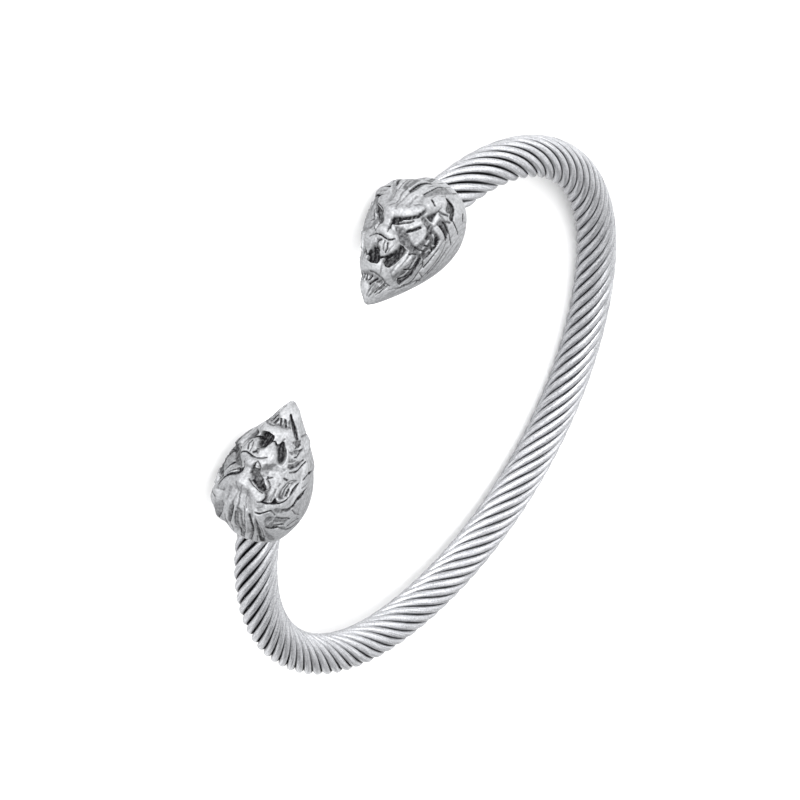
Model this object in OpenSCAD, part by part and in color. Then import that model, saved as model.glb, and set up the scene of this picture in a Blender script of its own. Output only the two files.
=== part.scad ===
// A rope cuff: a stiff twisted-wire cable bent to an open oval, with a cast lion head on each end.
// It lies on its side. The cable's back and the two heads touch the ground, so the hoop slopes a little.
// The cuff is worked out in its own plane first, with the gap towards -Y, and is then laid down.

/* [Cuff] */
// Half of the cable's centre line across its widest place
cuff_half_w = 33; // [31:0.5:35]
// From the widest place to the middle of the back
cuff_back = 28.8; // [28.4:0.2:30]
// From the widest place to the line of the cable at the front
cuff_front = 28; // [27.6:0.2:28.4]
// Sideways place of the centre of each side bend
side_centre = 7.5; // [7:0.5:8]

/* [Cable] */
// Outer diameter of the cable
cable_d = 5; // [4.8:0.1:5.2]
// Number of wires round the core
wire_n = 11; // [11:1:11]
// Share of a wire's room that the wire fills
wire_fill = 0.94; // [0.8:0.01:0.95]
// Length of one full turn of a wire round the cable
lay = 22.27; // [20:0.01:26]
// Place of the first wire, as a share of the space from wire to wire
first_wire = 0.79; // [0:0.01:1]
// Clear space between the core and the wires
core_gap = 0.06; // [0.04:0.01:0.1]

/* [Heads] */
// Angle between a head's axis and the cuff's wide axis
head_angle = 21.3; // [20:0.1:22]
// Sideways step of each head from the middle of the cable
head_step = 0.2; // [0:0.05:0.3]
// Turn of the right head about the line out of its face
right_yaw = 2.3; // [0:0.1:4]
// Turn of the left head about the line out of its face
left_yaw = 3.7; // [0:0.1:4]
// Turn of the right head about its own axis
right_roll = 7.9; // [0:0.1:9]
// Turn of the left head about its own axis
left_roll = 5.4; // [0:0.1:9]
// Length of the cable that is inside each head
socket_depth = 4.2; // [3:0.1:4.5]
// Clear space round the cable in the socket
socket_gap = 0.12; // [0.08:0.01:0.2]
// Share of the relief's full height
relief = 1; // [0.5:0.05:1]

/* [Resting] */
// Slope of the hoop from its back up to the heads
rest_slope = 2.49; // [0:0.01:5]
// Sideways slope of the hoop
rest_lean = -1.44; // [-2:0.01:2]
// Height of the hoop's centre above the ground
rest_height = 3.98; // [2:0.01:8]
// Shift across that brings the outline's middle over the origin
rest_shift_x = 0.01; // [-2:0.01:2]
// Shift along that brings the outline's middle over the origin
rest_shift_y = -0.06; // [-2:0.01:2]

/* [Hidden] */

steel = [0.80, 0.80, 0.82];
old_steel = [0.62, 0.62, 0.64];

// The oval is five arcs that meet smoothly: two sides, the back and the two ends in front.
side_r = cuff_half_w - side_centre;
back_k = cuff_back - side_r;
back_drop = (side_centre * side_centre - back_k * back_k) / (2 * back_k);
back_r = cuff_back + back_drop;
back_angle = atan2(back_drop, side_centre);
front_k = cuff_front - side_r;
front_rise = (side_centre * side_centre - front_k * front_k) / (2 * front_k);
front_r = cuff_front + front_rise;
front_angle = -atan2(front_rise, side_centre);

// Where the cable goes into the heads, and where it ends inside them
mouth_angle = front_angle - 2.8;
end_angle = mouth_angle - socket_depth / front_r * 180 / PI;

// Columns: centre x, centre y, radius, first angle, last angle. From the right head round the back.
arcs = [
    [0, front_rise, front_r, end_angle, front_angle],
    [side_centre, 0, side_r, front_angle, back_angle],
    [0, -back_drop, back_r, back_angle, 180 - back_angle],
    [-side_centre, 0, side_r, 180 - back_angle, 180 - front_angle],
    [0, front_rise, front_r, 180 - front_angle, 180 - end_angle],
];
function arc_length(row) = row[2] * (row[4] - row[3]) * PI / 180;
function length_to(i) = i == 0 ? 0 : length_to(i - 1) + arc_length(arcs[i - 1]);
cable_length = length_to(5);

// The arc that a length along the cable falls in, the direction out of the oval there, and the point
function arc_at(s, i = 0) = i == 4 || s <= length_to(i + 1) ? i : arc_at(s, i + 1);
function out_angle(s) = let (i = arc_at(s), row = arcs[i]) row[3] + (s - length_to(i)) / row[2] * 180 / PI;
function cable_point(s) =
    let (row = arcs[arc_at(s)], a = out_angle(s)) [row[0] + row[2] * cos(a), row[1] + row[2] * sin(a), 0];

// Wires round the core. A wire's section across the cable is wider than the wire, by the lay's slope.
lay_angle = atan2(PI * cable_d * 0.8, lay);
wire_room = PI * cable_d * 0.8 * cos(lay_angle) / wire_n;
wire_r = wire_room * wire_fill / 2;
pitch_r = cable_d / 2 - wire_r;
core_r = pitch_r - wire_r - core_gap;
wire_sides = 5;
wire_rings = 70;
core_sides = 8;
core_rings = 44;
end_gap = 0.1;

function wire_point(s, turn) =
    let (a = out_angle(s), t = turn - 360 * s / lay)
    cable_point(s) + pitch_r * (cos(t) * [cos(a), sin(a), 0] + sin(t) * [0, 0, 1]);

// One ring of a wire's section, square to the wire, with a corner turned to the outside of the cable
function wire_ring(s, turn) =
    let (
        a = out_angle(s),
        t = turn - 360 * s / lay,
        outward = cos(t) * [cos(a), sin(a), 0] + sin(t) * [0, 0, 1],
        run = wire_point(s + 0.05, turn) - wire_point(s - 0.05, turn),
        side = cross(run, outward) / norm(run),
        p = wire_point(s, turn)
    )
    [for (k = [0:wire_sides - 1]) let (b = 360 * k / wire_sides) p + wire_r * (cos(b) * outward + sin(b) * side)];

// Heads. Lengths run along the head's axis from the cable's end of it to the chin.
// Columns: length, half width, height of the face side, depth of the wrist side
head_sections = [
    [0.0, 3.15, 3.1, 3.15],
    [0.7, 3.55, 4.2, 3.4],
    [2.0, 4.35, 5.7, 3.6],
    [4.0, 4.9, 6.6, 3.75],
    [6.5, 4.9, 6.35, 3.6],
    [9.0, 4.15, 5.45, 3.15],
    [11.5, 2.75, 4.25, 2.5],
    [13.5, 1.45, 2.65, 1.7],
    [14.7, 0.7, 1.35, 1.0],
    [15.4, 0.3, 0.45, 0.35],
];
head_length = 15.55;
socket_lead = 0.2;
head_round = 2.2;
face_points = 43;
wrist_points = 7;
side_stretch = 0.5;
around = face_points + wrist_points;
stations = [0, 0.4, 1.0, 1.6, 2.2, 2.8, 3.4, 4.0, 4.6, 5.2, 5.8, 6.3, 6.7, 7.1, 7.5, 7.9, 8.3, 8.7,
            9.1, 9.5, 9.9, 10.3, 10.7, 11.1, 11.5, 11.9, 12.3, 12.7, 13.1, 13.5, 13.9, 14.4, 14.9, 15.4];

// Relief strokes on the face, the same on both halves. Columns: height, half width, route.
// A route's points are the way round the head from the face's middle line, and the length from the cable.
strokes = [
    // brow
    [0.75, 0.75, [[0.3, 7.0], [1.5, 6.3], [2.5, 5.4], [3.0, 4.9]]],
    // bridge and wings of the nose
    [0.55, 0.95, [[0, 6.7], [0, 9.0]]],
    [0.6, 0.65, [[0, 9.0], [1.1, 9.1], [1.8, 9.3]]],
    // muzzle and its two lobes
    [0.9, 0.95, [[0.3, 10.3], [1.5, 10.3]]],
    [0.35, 0.7, [[1.7, 9.9], [1.5, 10.8]]],
    // upper and lower fangs
    [0.6, 0.35, [[1.0, 10.9], [1.05, 11.8]]],
    [0.5, 0.35, [[1.3, 12.0], [1.3, 12.6]]],
    // lower lip
    [0.6, 0.5, [[0, 12.8], [1.6, 12.6], [2.7, 11.8], [3.4, 10.7], [3.7, 9.8]]],
    // fold under the eye and the cheekbone
    [0.4, 0.4, [[2.0, 8.4], [3.1, 7.4], [3.6, 6.4]]],
    [0.45, 0.8, [[4.1, 7.0], [4.3, 8.4]]],
    // ear
    [0.55, 0.8, [[3.2, 2.8], [3.5, 4.4]]],
    // mane locks beside the face, and the border round the chin
    [0.4, 0.7, [[4.7, 4.6], [6.2, 5.7], [6.9, 7.4], [6.7, 9.4], [5.6, 11.6]]],
    [0.3, 0.7, [[8.2, 7.4], [7.2, 10.4], [5.2, 12.1], [2.9, 13.7], [0.7, 14.9]]],
    // eye socket with its eyeball
    [-1.0, 0.75, [[0.9, 8.2], [1.6, 7.2], [2.6, 6.3]]],
    [0.6, 0.45, [[1.5, 7.6], [1.9, 7.2]]],
    // open mouth between the fangs and beside them
    [-1.7, 0.75, [[0, 11.4], [0.3, 11.9]]],
    [-1.5, 0.5, [[1.7, 11.7], [2.5, 11.0], [3.0, 10.0]]],
    // hollow under the lower lip
    [-0.6, 0.45, [[0, 13.3], [1.0, 13.2]]],
    // edge of the beard and jaw
    [-0.5, 0.4, [[0.9, 14.3], [2.4, 13.2], [3.9, 12.1], [4.4, 11.2], [4.7, 9.9]]],
    // hollow beside the cheek and behind the ear
    [-0.6, 0.5, [[5.0, 6.4], [5.6, 7.8]]],
    [-0.8, 0.5, [[3.5, 2.1], [4.8, 2.6], [6.1, 3.4]]],
    // partings of the mane
    [-0.5, 0.4, [[5.2, 4.2], [6.8, 5.4], [7.8, 7.2], [7.6, 9.2]]],
    [-0.4, 0.35, [[0.35, 6.3], [0.6, 4.4], [0.5, 1.6]]],
    [-0.4, 0.35, [[1.3, 5.9], [1.6, 4.4], [1.8, 1.6]]],
    [-0.4, 0.35, [[2.5, 4.4], [2.7, 3.0], [2.6, 1.6]]],
];

// A smooth value from a table: a cubic between the rows, with the slope of the neighbours at each row
function row_at(t, x, i = 0) = i == len(t) - 2 || x <= t[i + 1][0] ? i : row_at(t, x, i + 1);
function slope(t, i, c) =
    let (a = max(i - 1, 0), b = min(i + 1, len(t) - 1)) (t[b][c] - t[a][c]) / (t[b][0] - t[a][0]);
function smooth(t, x, c) =
    let (
        i = row_at(t, x),
        w = t[i + 1][0] - t[i][0],
        v = min(max((x - t[i][0]) / w, 0), 1),
        rise = v * v * (3 - 2 * v)
    )
    t[i][c] + (t[i + 1][c] - t[i][c]) * rise
    + slope(t, i, c) * w * v * (1 - v) * (1 - v) - slope(t, i + 1, c) * w * v * v * (1 - v);

function to_segment(p, a, b) =
    let (d = b - a, v = min(max((p - a) * d / (d * d), 0), 1)) norm(p - a - v * d);
function to_route(p, route) = min([for (i = [0:len(route) - 2]) to_segment(p, route[i], route[i + 1])]);
function stroke_height(p, row) = let (d = to_route(p, row[2]) / row[1]) row[0] * exp(-d * d * d * d / 2 - d * d / 2);
function relief_at(p) = [for (row = strokes) 1] * [for (row = strokes) stroke_height(p, row)];

// Half width, height or depth decides the radius of the rounded section in each direction round the axis
function section_radius(x, a) =
    let (
        side = abs(sin(a)) / smooth(head_sections, x, 1),
        rise = abs(cos(a)) / smooth(head_sections, x, cos(a) > 0 ? 2 : 3)
    )
    pow(pow(side, head_round) + pow(rise, head_round), -1 / head_round);
// The face's points stand closer together in its middle than at its sides
function ring_angle(k) =
    let (v = 2 * k / (face_points - 1) - 1)
    k < face_points ? 105 * (v + side_stretch * v * v * v) / (1 + side_stretch)
    : 105 + 150 * (k - face_points + 1) / (wrist_points + 1);
function way_round(x, a) = abs(a) * PI / 180 * (smooth(head_sections, x, 1) + smooth(head_sections, x, 2)) / 2;

// The head's own directions: along its axis to the chin, out of its face, and across it
flat_axis = [-cos(head_angle), -sin(head_angle), 0];
flat_face = [sin(head_angle), -cos(head_angle), 0];
upward = [0, 0, 1];
function head_axis(pose) = cos(pose[0]) * flat_axis - sin(pose[0]) * upward;
function head_side(pose) = cos(pose[0]) * upward + sin(pose[0]) * flat_axis;
function head_face(pose) = cos(pose[1]) * flat_face + sin(pose[1]) * head_side(pose);
function head_across(pose) = cos(pose[1]) * head_side(pose) - sin(pose[1]) * flat_face;
head_start = cable_point(socket_depth) - head_step * upward + socket_lead * flat_axis;
kink = 90 + mouth_angle - head_angle;

// A point of a head at a length along its axis and an angle round it, from the face's middle.
// A head's pose is its yaw and its roll.
function head_point(x, a, pose) =
    let (
        fade = min(max(x - 0.5, 0), 1) * min(max((15.8 - x) / 1.2, 0), 1),
        turn = a > 180 ? a - 360 : a,
        r = section_radius(x, a) + relief * fade * (abs(turn) < 110 ? relief_at([way_round(x, turn), x]) : 0),
        lean = tan(kink) * max(1 - x / socket_depth, 0)
    )
    head_start + (x - lean * r * cos(a)) * head_axis(pose)
    + r * cos(a) * head_face(pose) + r * sin(a) * head_across(pose);

// A point of the blind socket, round the cable at a length from the cable's end
function socket_point(s, a) =
    let (out = out_angle(s), r = cable_d / 2 + socket_gap)
    cable_point(s) + r * (cos(a) * [cos(out), sin(out), 0] + sin(a) * [0, 0, 1]);

// From the socket's floor over its middle and its mouth, then along the outside
function head_ring(level, pose) = [for (k = [0:around - 1]) let (a = ring_angle(k))
    level < 3 ? socket_point(socket_depth * level / 2 - socket_gap * (2 - level) / 2, a)
    : head_point(stations[level - 3], a, pose)];

// Skin of a stack of rings, with a single point closing each end
function skin_faces(rings, sides) = concat(
    [for (k = [0:sides - 1]) [0, 1 + k, 1 + (k + 1) % sides]],
    [for (i = [0:rings - 2], k = [0:sides - 1]) let (a = 1 + i * sides + k, b = 1 + i * sides + (k + 1) % sides)
        each [[a, b + sides, b], [a, a + sides, b + sides]]],
    [for (k = [0:sides - 1]) let (a = 1 + (rings - 1) * sides) [a + (k + 1) % sides, a + k, a + sides]]
);

// Lays the cuff down on its side
module laid() {
    translate([rest_shift_x, rest_shift_y, rest_height]) rotate([-rest_slope, rest_lean, 0]) children();
}

// A closed bar through a stack of rings, with a point in the middle of each end
module bar(first, rings, last, sides) {
    polyhedron(concat([first], [for (r = rings) each r], [last]), skin_faces(len(rings), sides), convexity = 10);
}

function round_ring(s, r, sides) = let (out = out_angle(s)) [for (k = [0:sides - 1]) let (b = -360 * k / sides)
    cable_point(s) + r * (cos(b) * [cos(out), sin(out), 0] + sin(b) * [0, 0, 1])];

module core_rod() {
    ends = [end_gap, cable_length - end_gap];
    rings = [for (j = [0:core_rings - 1])
        round_ring(ends[0] + (ends[1] - ends[0]) * j / (core_rings - 1), core_r, core_sides)];
    color(old_steel) laid() bar(cable_point(ends[0]), rings, cable_point(ends[1]), core_sides);
}

module wire(i) {
    turn = 360 * (i + first_wire) / wire_n;
    levels = [for (j = [0:wire_rings - 1]) end_gap + (cable_length - 2 * end_gap) * j / (wire_rings - 1)];
    color(steel) laid() bar(wire_point(levels[0], turn), [for (s = levels) wire_ring(s, turn)],
        wire_point(levels[wire_rings - 1], turn), wire_sides);
}

module head(pose) {
    floor_middle = cable_point(0) - (socket_point(socket_gap, 0) - socket_point(0, 0));
    bar(floor_middle, [for (level = [0:len(stations) + 2]) head_ring(level, pose)],
        head_start + head_length * head_axis(pose), around);
}

module head_right() {
    color(steel) laid() head([right_yaw, right_roll]);
}

module head_left() {
    color(steel) laid() rotate([0, 180, 0]) head([left_yaw, left_roll]);
}

core_rod();
wire(0);  // wire_01
wire(1);  // wire_02
wire(2);  // wire_03
wire(3);  // wire_04
wire(4);  // wire_05
wire(5);  // wire_06
wire(6);  // wire_07
wire(7);  // wire_08
wire(8);  // wire_09
wire(9);  // wire_10
wire(10);  // wire_11
head_right();
head_left();
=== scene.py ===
"""A rope cuff of twisted steel wire with two cast lion heads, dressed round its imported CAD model.

The wires and the heads are worked out from the same sizes as the part's source, in millimetres, in the
plane of the hoop. They are then laid on the ground with the source's own turn and shift.
"""

import bpy
import numpy as np
from mathutils import Matrix, Vector


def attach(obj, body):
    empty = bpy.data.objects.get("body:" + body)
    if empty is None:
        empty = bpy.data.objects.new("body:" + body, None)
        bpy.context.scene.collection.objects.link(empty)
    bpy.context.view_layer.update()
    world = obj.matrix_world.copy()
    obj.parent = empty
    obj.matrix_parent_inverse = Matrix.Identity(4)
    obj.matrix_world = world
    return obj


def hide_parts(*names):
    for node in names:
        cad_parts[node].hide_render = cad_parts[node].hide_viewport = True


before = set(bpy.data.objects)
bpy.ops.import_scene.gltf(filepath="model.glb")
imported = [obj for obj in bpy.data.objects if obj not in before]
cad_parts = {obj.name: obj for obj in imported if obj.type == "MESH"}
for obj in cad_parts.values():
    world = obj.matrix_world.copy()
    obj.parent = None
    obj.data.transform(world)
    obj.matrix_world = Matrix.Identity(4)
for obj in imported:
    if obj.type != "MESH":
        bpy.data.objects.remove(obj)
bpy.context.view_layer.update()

MM = 0.001
UP = np.array([0.0, 0.0, 1.0])

# Camera: where it aims on the plane of the hoop, how far off it is, and how it is turned
CAMERA_AIM = (0.92, -7.47, 3.98)
CAMERA_DISTANCE = 338.2
CAMERA_AZIMUTH = 1.43
CAMERA_ELEVATION = 32.46
CAMERA_ROLL = 121.17
CAMERA_LENS = 130.1
CAMERA_SENSOR = 36.0
CAMERA_NEAR = 10.0

# Studio, lighter towards one side. It is bright enough to keep the floor white close to the cuff, and the
# metals are a little darker than real ones to make up for that.
FLOOR_R = 3000.0
FLOOR_SIDES = 96
LIGHT_SIDE = (-0.88, -0.12, 0.46)
STUDIO_DARK = 0.78
STUDIO_LIGHT = 2.22
# Cosines of the way round from the light side, from where it is all dark to where it is all light
STUDIO_TURN = (-0.6, 0.95)
# Columns: name, place and size in millimetres, power in watts
SOFTBOXES = [
    ("left_softbox", (-420, -60, 330), (320, 320), 0.84),
    ("right_softbox", (420, -260, 330), (320, 320), 0.48),
    ("front_softbox", (-40, -620, 160), (420, 160), 6.0),
]

# Oval of the cable's centre line, made of arcs that meet smoothly
CUFF_HALF_W = 33.0
CUFF_BACK = 28.8
CUFF_FRONT = 28.0
SIDE_CENTRE = 7.5
SIDE_R = CUFF_HALF_W - SIDE_CENTRE
BACK_K = CUFF_BACK - SIDE_R
BACK_DROP = (SIDE_CENTRE ** 2 - BACK_K ** 2) / (2 * BACK_K)
BACK_R = CUFF_BACK + BACK_DROP
BACK_ANGLE = np.degrees(np.arctan2(BACK_DROP, SIDE_CENTRE))
FRONT_K = CUFF_FRONT - SIDE_R
FRONT_RISE = (SIDE_CENTRE ** 2 - FRONT_K ** 2) / (2 * FRONT_K)
FRONT_R = CUFF_FRONT + FRONT_RISE
FRONT_ANGLE = -np.degrees(np.arctan2(FRONT_RISE, SIDE_CENTRE))

# Cable. The visible wires nearly touch, as drawn wires in a cable do. Their centres lie on a circle that is
# about this share of the cable's diameter.
CABLE_D = 5.0
CENTRES_SHARE = 0.8
WIRE_COUNT = 11
WIRE_FILL = 0.955
LAY = 22.27
FIRST_WIRE = 0.79
LAY_ANGLE = np.arctan2(np.pi * CABLE_D * CENTRES_SHARE, LAY)
WIRE_R = np.pi * CABLE_D * CENTRES_SHARE * np.cos(LAY_ANGLE) / WIRE_COUNT * WIRE_FILL / 2
PITCH_R = CABLE_D / 2 - WIRE_R
END_GAP = 0.1
WIRE_SIDES = 20
WIRE_RINGS = 460
TANGENT_STEP = 0.05

# Painted shade on a wire's sides that face the others. Its start and its soft edge are cosines of the way
# round the wire.
GAP_SHADE_START = 0.4
GAP_SHADE_EDGE = 0.35
# How much further round the painted shade comes where the bend opens the cable, and how dark it is where it
# doesn't
GAP_SHADE_OPENED = 0.3
GAP_SHADE_LEAST = 0.65
OPENED_CONTRAST = 1.5

# Heads. Each starts a small step off the plane of the hoop, and a little way past its socket's mouth. Its
# plain sections are ovals for a HEAD_ROUND of 2, and fuller ones above it.
HEAD_ANGLE = 21.3
HEAD_STEP = 0.2
SOCKET_LEAD = 0.2
SOCKET_DEPTH = 4.2
SOCKET_GAP = 0.12
HEAD_LENGTH = 15.55
HEAD_ROUND = 2.2
RIM_ROUND = 0.25
MOUTH_PAST_SIDE = 2.8
MOUTH_ANGLE = FRONT_ANGLE - MOUTH_PAST_SIDE
END_ANGLE = MOUTH_ANGLE - np.degrees(SOCKET_DEPTH / FRONT_R)
KINK = np.radians(90 + MOUTH_ANGLE - HEAD_ANGLE)
# Yaw and roll of each head in degrees
RIGHT_POSE = (2.3, 7.9)
LEFT_POSE = (3.7, 5.4)
# Points of a head's skin along it, round its face and round its wrist side, and half the face's angle
HEAD_STATIONS = 330
FACE_POINTS = 262
WRIST_POINTS = 28
FACE_REACH = 115.0

# Resting turn and shift
REST_SLOPE = 2.49
REST_LEAN = -1.44
REST_SHIFT = (0.01, -0.06, 3.98)

# Drawing lines on the wires. Real ones are some 0.02 mm apart, which is too fine to show, so they are drawn
# as coarse as this. WIRES_APART takes each wire to a part of the pattern of its own.
STREAK_WIDTH = 0.14
STREAK_LENGTH = 2.5
WIRES_APART = 10.0
# Hair lines of the casting
HAIR_WIDTH = 0.28
HAIR_LENGTH = 3.5
# Widths of the other patterns. The wires' grain and the card's fibres are finer on real ones, and are
# drawn coarser so that they show.
WIRE_GRAIN = 1 / 7
CASTING_GRAIN = 1 / 3.6
CORE_SHADE_MOTTLE = 1 / 1.5
POLISH_SWIRL = 1 / 0.9
CARD_FIBRE = 2.5
# Depth of the drawing lines, and of the pits where the polish doesn't reach
FINISH_DEPTH = 0.04

# The inputs of a Mix node for its two colours
COLOUR_A = 6
COLOUR_B = 7

# Columns: centre x, centre y, radius, first angle, last angle. From the right head round the back.
ARCS = np.array([
    [0, FRONT_RISE, FRONT_R, END_ANGLE, FRONT_ANGLE],
    [SIDE_CENTRE, 0, SIDE_R, FRONT_ANGLE, BACK_ANGLE],
    [0, -BACK_DROP, BACK_R, BACK_ANGLE, 180 - BACK_ANGLE],
    [-SIDE_CENTRE, 0, SIDE_R, 180 - BACK_ANGLE, 180 - FRONT_ANGLE],
    [0, FRONT_RISE, FRONT_R, 180 - FRONT_ANGLE, 180 - END_ANGLE],
])
ARC_ENDS = np.cumsum(ARCS[:, 2] * np.radians(ARCS[:, 4] - ARCS[:, 3]))
ARC_STARTS = np.concatenate([[0], ARC_ENDS[:-1]])
CABLE_LENGTH = ARC_ENDS[-1]

# Columns: length from the cable's end, half width, height of the face side, depth of the wrist side
HEAD_SECTIONS = np.array([
    [0.0, 3.25, 3.1, 3.15],
    [0.7, 3.7, 3.9, 3.4],
    [2.0, 4.35, 5.6, 3.6],
    [4.0, 4.9, 6.6, 3.75],
    [6.5, 4.9, 6.35, 3.6],
    [9.0, 4.15, 5.45, 3.15],
    [11.5, 2.75, 4.25, 2.5],
    [13.5, 1.45, 2.65, 1.7],
    [14.7, 0.7, 1.35, 1.0],
    [15.4, 0.3, 0.45, 0.35],
])

# Where the relief, the stain and the hair fade, from nothing to full. Lengths run from the cable's end to
# the chin, and ways run round the head from the face's middle line.
RELIEF_IN = (0.5, 1.5)
RELIEF_OUT = (15.8, 14.6)
STAIN_IN = (0.2, 0.5)
FACE_STAIN_IN = (3.5, 5.0)
FACE_STAIN_OUT = (13.0, 12.0)
FACE_STAIN_WAY = (4.6, 3.1)
FOREHEAD_OUT = (4.4, 3.6)
FOREHEAD_WAY = (3.4, 2.8)
MANE_WAY = (6.0, 6.6)
# The same for the end of the face's reach, in radians
REACH_FADE = 0.15
# The same for the stain beside a groove and the polish beside a ridge, in half widths of it
LINE_FADE = (1.5, 0.7)
# Where the strands start to draw together, and how much nearer the chin they lie twice as close
STRANDS_MEET_FROM = 9.5
STRANDS_MEET_OVER = 4.0

# Width of a hollow's wall, the share of it that lies outside the outline, and the depth of a groove
WALL = 0.2
WALL_OUTSIDE = 0.4
GROOVE_DEPTH = 0.2
# Points of a smooth outline for each one in the table, and the half widths to which a form reaches
OUTLINE_STEPS = 6
BELL_REACH = 3
# Width over which the relief's edges are softened, and how far the average goes, in such widths. The
# face is taken as a round of one radius for it.
EDGE_BLUR = 0.035
BLUR_REACH = 2.5
FACE_R = 5.0
# The stain that settles in whatever lies lower than its surroundings: how wide these are, how much
# lower it is fully dark, and how soon the stain sets in
TARNISH_BLUR = 0.25
TARNISH_DEPTH = 0.24
TARNISH_CURVE = 0.8
# Even stain of the face, and the share of any stain that the polish takes off a ridge
FACE_STAIN = 0.18
RIDGE_POLISH = 0.85

# The casting's relief. A point is the way round the head from the face's middle line, and the length from
# the cable's end. A row is for one half of the face, as the casting's two halves differ, or for both.
BOTH = 0
LEFT = -1
RIGHT = 1

# Raised and sunk forms with round edges. Columns: half, height, half width, route
FORMS = [
    # brow
    (BOTH, 0.4, 0.75, [(0.3, 7.0), (1.5, 6.3), (2.5, 5.4), (3.0, 4.9)]),
    # bridge and wings of the nose
    (BOTH, 0.4, 0.8, [(0, 6.7), (0, 9.0)]),
    (BOTH, 0.35, 0.5, [(0, 9.1), (0.8, 9.15), (1.3, 9.3)]),
    # muzzle
    (BOTH, 0.35, 0.9, [(0.3, 10.3), (1.4, 10.3)]),
    (BOTH, 0.15, 0.5, [(1.7, 9.8), (1.5, 10.6)]),
    # lower lip
    (BOTH, 0.2, 0.5, [(0, 12.5), (1.6, 12.4), (2.6, 11.9), (3.1, 10.7), (3.3, 9.9)]),
    # ear, which the casting raises on the left half only
    (LEFT, 0.65, 0.8, [(2.7, 2.0), (3.2, 2.9), (3.0, 4.0)]),
    # broad swell from the ear down past the cheek, and the flatter crown of the right half
    (LEFT, 0.55, 1.0, [(4.2, 3.6), (4.9, 5.0), (5.1, 7.0), (4.9, 8.6), (4.5, 10.4)]),
    (RIGHT, 0.5, 1.3, [(2.8, 3.4), (3.8, 5.5), (4.1, 7.5), (3.7, 9.3)]),
    (RIGHT, -0.5, 0.9, [(0.2, 1.0), (1.2, 1.3), (2.2, 2.0)]),
    (LEFT, -0.3, 0.9, [(0.2, 1.0), (1.2, 1.3)]),
    # mane locks beside the face, and the border round the chin
    (LEFT, 0.3, 0.7, [(6.4, 5.4), (7.1, 7.2), (6.9, 9.4), (6.0, 11.4)]),
    (RIGHT, 0.3, 0.7, [(6.4, 5.7), (7.0, 7.4), (6.7, 9.4), (5.6, 11.4)]),
    (LEFT, 0.15, 0.7, [(7.2, 10.4), (5.2, 12.3), (2.9, 13.8), (0.7, 14.9)]),
    (RIGHT, 0.35, 0.8, [(5.2, 11.2), (3.6, 11.8), (2.4, 12.8), (0.9, 14.6)]),
    (RIGHT, 0.25, 0.8, [(8.8, 9.3), (7.6, 10.6), (6.2, 11.9), (5.1, 12.8), (3.7, 13.7), (1.9, 14.5)]),
    # eyeball, right half
    (RIGHT, 0.3, 0.42, [(1.9, 6.95), (1.8, 7.1)]),
    # hollow under the lower lip
    (BOTH, -0.3, 0.4, [(0, 13.35), (1.0, 13.25)]),
]

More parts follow.
